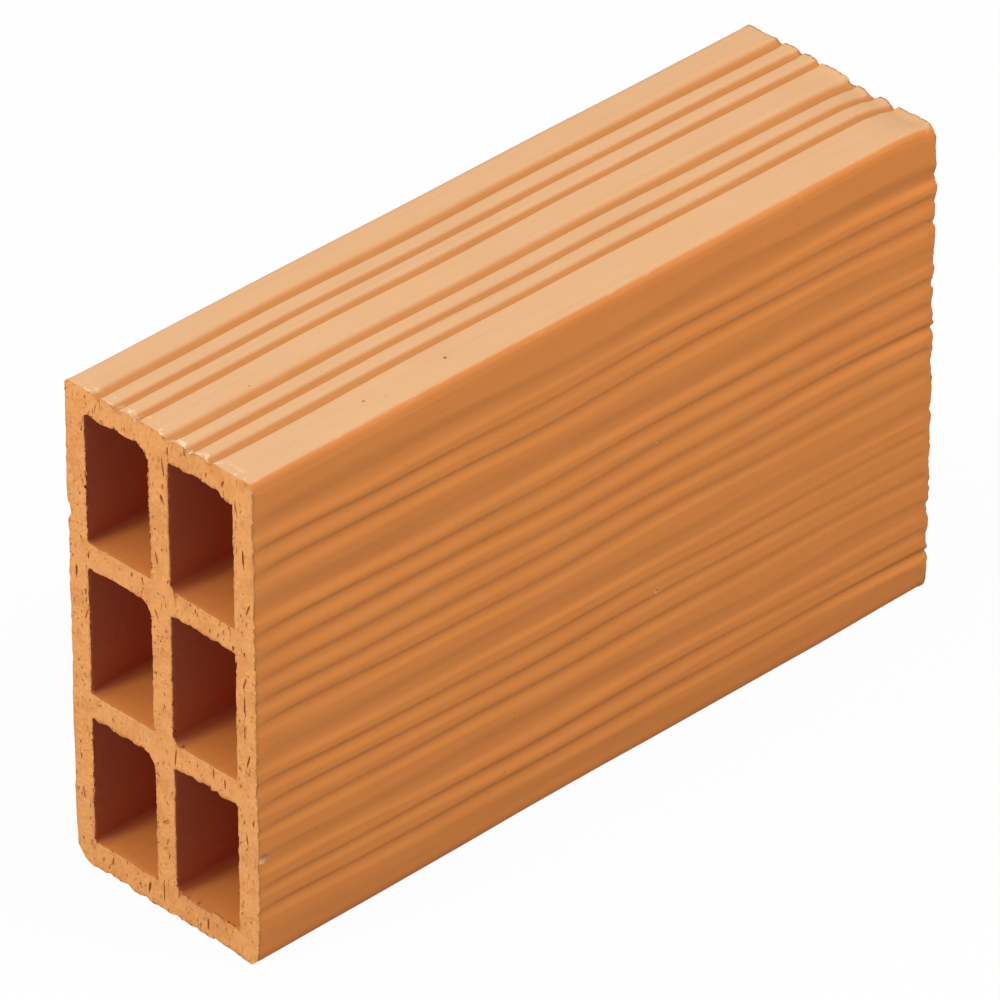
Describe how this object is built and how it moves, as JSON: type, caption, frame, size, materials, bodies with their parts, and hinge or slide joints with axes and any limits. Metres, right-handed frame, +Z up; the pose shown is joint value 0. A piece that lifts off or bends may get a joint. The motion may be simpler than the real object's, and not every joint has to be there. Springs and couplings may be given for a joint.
{
  "type": "hollow clay partition brick",
  "caption": "Extruded hollow brick of fired clay with rectangular cells right through and striped faces, standing on a long narrow side.",
  "frame": {"origin": "on the floor, below the middle of the brick's outline", "axes": "+X along the extrusion and the cells, +Y across the thickness towards the back face, +Z up with the brick on its long narrow side"},
  "size_m": [0.25, 0.07, 0.15],
  "materials": {
    "clay": "matte"
  },
  "bodies": {
    "root": {"brick": "clay"}
  },
  "joints": []
}
